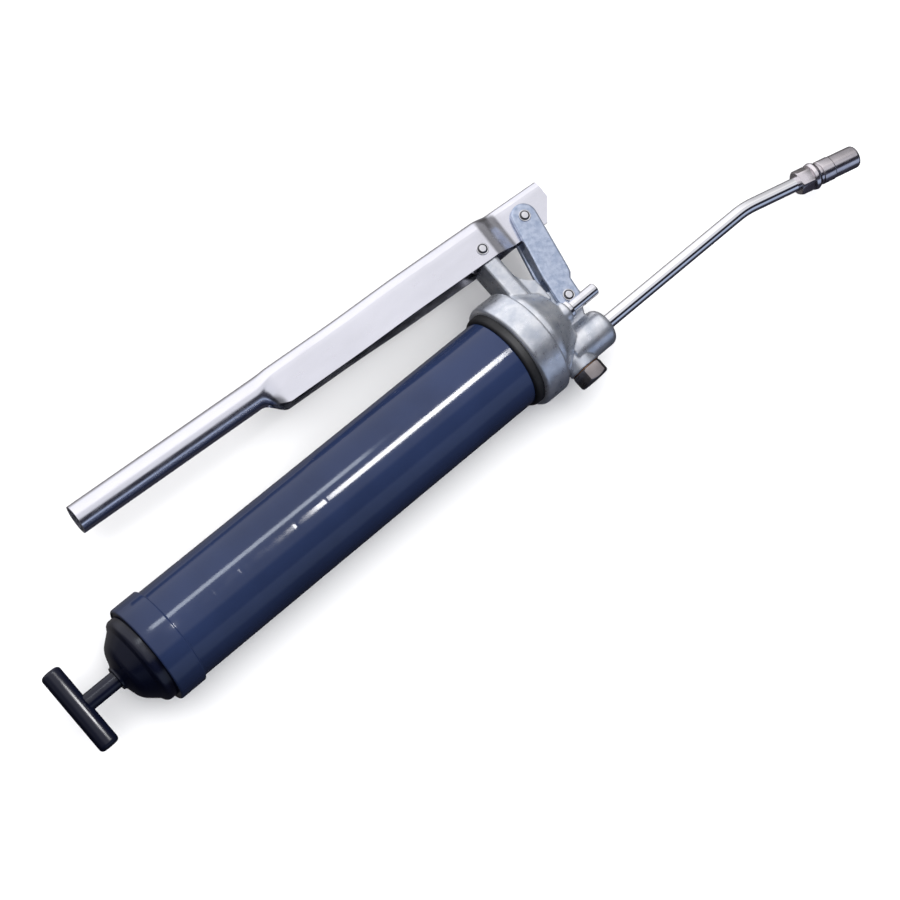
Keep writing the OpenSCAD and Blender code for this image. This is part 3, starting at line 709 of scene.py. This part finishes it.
def sheet_line(x):
    k = ease((x - GRIP_END) / ROLL)
    return [(g[0] * (1 - k) + c[0] * k, g[1] * (1 - k) + c[1] * k)
            for g, c in zip(grip_line(), channel_line(channel_half(x)))]


def sheet_ring(x):
    """Closed section of the sheet, outer side then inner side."""
    line = [Vector(p) for p in sheet_line(x)]
    outer, inner = [], []
    for i, here in enumerate(line):
        step = (line[min(i + 1, len(line) - 1)] - line[max(i - 1, 0)]).normalized()
        side = Vector((step.y, -step.x)) * SHEET / 2
        outer.append(here + side)
        inner.append(here - side)
    return outer + inner[::-1]


def lever_stations():
    stations = [TAIL + 120 * k / 12 for k in range(12)]
    stations += [GRIP_END + ROLL * k / 20 for k in range(21)]
    stations += [GRIP_END + ROLL + k * 6 for k in range(1, 7)]
    stations += [-141 + 60 * k / 14 for k in range(15)]
    stations += [-81 + 50 * k / 5 for k in range(1, 6)]
    stations += [-31 + 18 * k / 18 for k in range(1, 19)]
    stations += [-13 + (NOSE_TIP + 13) * k / 6 for k in range(1, 7)]
    return sorted(set(round(x, 3) for x in stations))


def pin_holes(spots, radius, reach):
    """Cutters along Z at each spot."""
    return [cylinder("hole", radius, -reach, reach, along_z, (at.x, at.y, 0)) for at in spots]


def make_lever(mats):
    points, faces = [], []
    stations = lever_stations()
    count = 2 * (2 * HALF_RING + 1)
    for x in stations:
        points += [(x, p.x, p.y) for p in sheet_ring(x)]
    for s in range(len(stations) - 1):
        for k in range(count):
            n = (k + 1) % count
            faces.append([s * count + k, s * count + n, (s + 1) * count + n, (s + 1) * count + k])
    for start in (0, (len(stations) - 1) * count):
        for k in range(count // 2 - 1):
            faces.append([start + k, start + k + 1, start + count - 2 - k, start + count - 1 - k])
    lever = mesh_object("lever_sheet", points, faces, LEVER)

    corner = prism("corner", [
        (10.2, LOW - 1), (10.2, LOW + 0.3), (NOSE_TIP - 0.1, 2.4), (NOSE_TIP + 2, 2.4),
        (NOSE_TIP + 2, LOW - 1)], -20, 20, LEVER)
    holes = pin_holes((PIN_A, PIN_B), PIN_R + 0.05, 20)
    combine(lever, [corner] + holes)
    smooth_shade(lever, 40)
    show_as(lever, "lever", mats["plated_sheet"])


# ------------------------------------------------------------------ pins, link, plunger
FLANGE_Z = 14.0
ARM_IN, ARM_OUT = 5.2, 8.3


def shade_pin_groove(pin, at, material, near=2.1, far=3.1):
    """Painted shade: a dark ring round the middle of a pin's head, where its groove lies in shade."""
    pin.data.materials.append(material)
    for face in pin.data.polygons:
        radius = (face.center.to_2d() / MM - at).length
        if face.center.z > 0 and near < radius < far:
            face.material_index = 1


def make_pin(name, node, at, reach, mats):
    """Headed pin along Z with a clip groove; reach is its distance from the lever's plane."""
    pin = lathe(name, rounded([
        (-reach - 2.2, 0), (-reach - 2.2, PIN_R, 0.4), (-reach - 1.05, PIN_R),
        (-reach - 1.05, PIN_R - 0.6), (-reach, PIN_R - 0.6), (-reach, PIN_R), (reach, PIN_R),
        (reach, 3.7, 0.15), (reach + 0.7, 3.7, 0.35), (reach + 0.45, 2.9, 0.2),
        (reach + 1.3, 2.0, 0.5), (reach + 1.3, 0)]), along_z, (at.x, at.y, 0), 64)
    show_as(pin, node, mats["bright_steel"])
    # painted shade in the groove of the pin's head
    shade_pin_groove(pin, at, mats["jaw_steel"])
    clip = lathe(name + "_clip", rounded([
        (-reach - 1, PIN_R - 0.55), (-reach - 1, 4.5, 0.25), (-reach - 0.05, 4.5, 0.25),
        (-reach - 0.05, PIN_R - 0.55)]), along_z, (at.x, at.y, 0), 64, ring=True)
    opening = prism("opening", [(0, -1.6), (6, -1.6), (6, 1.6), (0, 1.6)], -reach - 2, -reach + 1,
                    Matrix.Translation((at.x, at.y, 0)))
    combine(clip, [opening])
    show_as(clip, node + "_clip", mats["jaw_steel"])


def make_link(mats):
    span = PIN_B - PIN_C
    length = span.length
    turn = Matrix.Rotation(math.atan2(span.y, span.x), 4, "Z")
    place = Matrix.Translation((PIN_C.x, PIN_C.y, 0)) @ turn
    outline = arc(0, 0, 7.6, range(100, 261, 10))
    outline += [(9, -6.6), (12, -8.3), (16, -8.6)]
    outline += arc(length, 0, 8, range(-90, 91, 10))
    outline += [(16, 8.8), (10, 8.2)]
    arms = [prism("arm", outline, low, high, place)
            for low, high in ((-ARM_OUT, -ARM_IN), (ARM_IN, ARM_OUT))]
    for arm in arms:
        bevel(arm, 0.9, 4, 40)
    web = prism("web", [(16, -7), (length - 16, -7), (length - 16, 7), (16, 7)],
                -ARM_IN - 0.5, ARM_IN + 0.5, place)
    link = cast_skin(join("link_cast", [*arms, web]), 0.4, 4)
    combine(link, pin_holes((PIN_B, PIN_C), PIN_R + FIT, 10))
    show_as(link, "link", mats["rough_casting"])


def make_plunger(mats):
    eye = (PLUNGER_X - 1.5, PIN_A.y + 0.85, 0)
    rod = lathe("rod", rounded([
        (-12, 0), (-12, PLUNGER_R, 0.4), (TOWER_TOP + 1.5, PLUNGER_R), (TOWER_TOP + 1.5, 0)]),
        along_y, (PLUNGER_X, 0, 0), 96)
    head = lathe("eye", rounded([(-6, 0), (-6, 7.4, 0.7), (6, 7.4, 0.7), (6, 0)]), along_z, eye, 96)
    combine(rod, [head], "UNION")
    hole = cylinder("hole", 5.05, -7, 7, along_z, eye, 96)
    combine(rod, [hole])
    rod.name = "plunger_turned"
    show_as(rod, "plunger", mats["bright_steel"])


# ------------------------------------------------------------------ view
CAMERA_YAW, CAMERA_TILT, CAMERA_ROLL = map(math.radians, (18.0, 5.0, 39.63))
CAMERA_DISTANCE = 1174.0
LENS_MM = 83.2
AIM_X, AIM_DROP = 60.5, 19.2


def camera_axes():
    """Right along the gun, up towards the lever and back towards the viewer, before the roll."""
    t, e = CAMERA_YAW, CAMERA_TILT
    along = Vector((math.cos(t), -math.sin(t) * math.sin(e), math.sin(t) * math.cos(e)))
    across = Vector((0, math.cos(e), math.sin(e)))
    back = Vector((-math.sin(t), -math.sin(e) * math.cos(t), math.cos(e) * math.cos(t)))
    return along, across, back


def make_camera():
    along, across, back = camera_axes()
    roll = CAMERA_ROLL
    right = along * math.cos(roll) - across * math.sin(roll)
    up = along * math.sin(roll) + across * math.cos(roll)
    aim = Vector((AIM_X, 0, 0)) - across * AIM_DROP
    place = (aim + back * CAMERA_DISTANCE) * MM
    data = bpy.data.cameras.new("camera")
    data.lens = LENS_MM
    data.sensor_width = 36
    camera = bpy.data.objects.new("camera", data)
    turn = Matrix((right, up, back)).transposed()
    camera.matrix_world = Matrix.Translation(place) @ turn.to_4x4()
    bpy.context.scene.collection.objects.link(camera)
    bpy.context.scene.camera = camera


def area_light(name, at, aim, size, power, colour=(1, 1, 1)):
    """Rectangular light at a point, facing another, its length lined up with the gun's."""
    data = bpy.data.lights.new(name, "AREA")
    data.shape = "RECTANGLE"
    data.size, data.size_y = size
    data.energy = power
    data.color = colour
    lamp = bpy.data.objects.new(name, data)
    back = (Vector(at) - Vector(aim)).normalized()
    side = Vector((1, 0, 0))
    side = (side - back * side.dot(back)).normalized()
    up = back.cross(side)
    lamp.matrix_world = Matrix.Translation(Vector(at)) @ Matrix((side, up, back)).transposed().to_4x4()
    lamp.visible_camera = False
    bpy.context.scene.collection.objects.link(lamp)
    return lamp


def make_world():
    """Studio round the gun, by the angle about its long axis, and darker beyond its two ends."""
    world = bpy.data.worlds.new("studio")
    bpy.context.scene.world = world
    world.use_nodes = True
    tree = world.node_tree
    background = tree.nodes["Background"]
    where = tree.nodes.new("ShaderNodeTexCoord")
    split = tree.nodes.new("ShaderNodeSeparateXYZ")
    angle = tree.nodes.new("ShaderNodeMath")
    angle.operation = "ARCTAN2"
    spread = tree.nodes.new("ShaderNodeMapRange")
    spread.inputs["From Min"].default_value = -math.pi
    spread.inputs["From Max"].default_value = math.pi
    ramp = tree.nodes.new("ShaderNodeValToRGB")
    elements = ramp.color_ramp.elements
    elements.remove(elements[1])
    for degrees, colour in STUDIO:
        elements.new(0.5 + degrees / 360).color = (*colour, 1)
    elements.remove(elements[0])
    tree.links.new(where.outputs["Generated"], split.inputs["Vector"])
    tree.links.new(split.outputs["Y"], angle.inputs[0])
    tree.links.new(split.outputs["Z"], angle.inputs[1])
    tree.links.new(angle.outputs["Value"], spread.inputs["Value"])
    tree.links.new(spread.outputs["Result"], ramp.inputs["Fac"])
    tree.links.new(ramp.outputs["Color"], background.inputs["Color"])
    length = tree.nodes.new("ShaderNodeMath")
    length.operation = "ABSOLUTE"
    ends = tree.nodes.new("ShaderNodeMapRange")
    ends.inputs["From Min"].default_value = 0.45
    ends.inputs["From Max"].default_value = 0.75
    ends.inputs["To Min"].default_value = STUDIO_LEVEL
    ends.inputs["To Max"].default_value = STUDIO_LEVEL / 4
    tree.links.new(split.outputs["X"], length.inputs[0])
    tree.links.new(length.outputs["Value"], ends.inputs["Value"])
    tree.links.new(ends.outputs["Result"], background.inputs["Strength"])


STUDIO_LEVEL = 1.3
# Degrees from straight up towards the lever's side, and the studio's colour there
STUDIO = [
    (-180, (0.02, 0.02, 0.025)), (-98, (0.03, 0.03, 0.045)), (-90, (0.26, 0.31, 0.42)),
    (-62, (0.36, 0.42, 0.56)), (-57, (0.02, 0.02, 0.03)), (-27, (0.02, 0.02, 0.03)),
    (-20, (0.62, 0.63, 0.67)), (8, (0.66, 0.66, 0.69)), (22, (1.0, 0.99, 1.0)),
    (95, (0.92, 0.92, 0.96)), (125, (0.25, 0.24, 0.24)), (180, (0.02, 0.02, 0.025)),
]


def make_floor():
    reach = 6000
    level = cad_box[0].z / MM
    outline = [(-reach, -reach), (reach, -reach), (reach, reach), (-reach, reach)]
    floor = prism("floor", outline, level - 20, level)
    material, shader = new_material("floor_paper", (0.86, 0.86, 0.86), 0.0, 0.9, 0.1)
    vary(material, shader, "Base Color", noise_node(material.node_tree, 3, 2), (0.85,) * 3, (0.88,) * 3)
    floor.data.materials.append(material)
    floor.visible_glossy = False
    floor.visible_diffuse = False


def light_only(lamp, names):
    """The lamp lights only the named pieces, so that no others mirror it."""
    group = bpy.data.collections.new(lamp.name + "_receivers")
    for name in names:
        group.objects.link(bpy.data.objects[name])
    lamp.light_linking.receiver_collection = group


def make_lights():
    """Two long soft boxes whose reflections run along the barrel, and a broad fill for the floor."""
    painted = ("barrel_tube", "end_cap_shell", "follower_rod_turned", "t_handle_bar", "dust_seal_ring")
    front = area_light("strip_front", (0.46, 0.116, 1.11), (0.06, 0, 0), (0.42, 0.20), 13.0)
    back = area_light("strip_back", (0.17, 0.55, 0.98), (-0.06, 0, 0), (0.36, 0.16), 2.4,
                      (0.85, 0.92, 1.0))
    light_only(front, painted)
    light_only(back, painted)
    fill = area_light("fill", (0.05, 0, 2.2), (0.05, 0, 0), (2.4, 2.4), 15.0)
    fill.visible_glossy = False
    wash = area_light("floor_wash", (0.05, 0, 2.2), (0.05, 0, 0), (3.0, 3.0), 80.0)
    light_only(wash, ("floor",))


def make_stage():
    make_world()
    make_floor()
    make_lights()
    make_camera()
    bpy.context.scene.view_settings.view_transform = "Standard"


# ------------------------------------------------------------------ all together
def main():
    mats = make_materials()
    for name, node in frame["nodes"].items():
        for slot in node.material_slots:
            slot.material = mats[NODE_SLOT[name]]
    make_head(mats)
    make_plug(mats)
    make_bleed(mats)
    make_pipe(mats)
    make_coupler(mats)
    make_barrel(mats)
    make_cap(mats)
    make_rod(mats)
    make_lever(mats)
    make_link(mats)
    make_plunger(mats)
    make_pin("plunger_pin_turned", "plunger_pin", PIN_A, FLANGE_Z, mats)
    make_pin("fulcrum_pin_turned", "fulcrum_pin", PIN_B, ARM_OUT + 0.1, mats)
    make_pin("link_pin_turned", "link_pin", PIN_C, ARM_OUT + 0.1, mats)
    make_stage()


main()
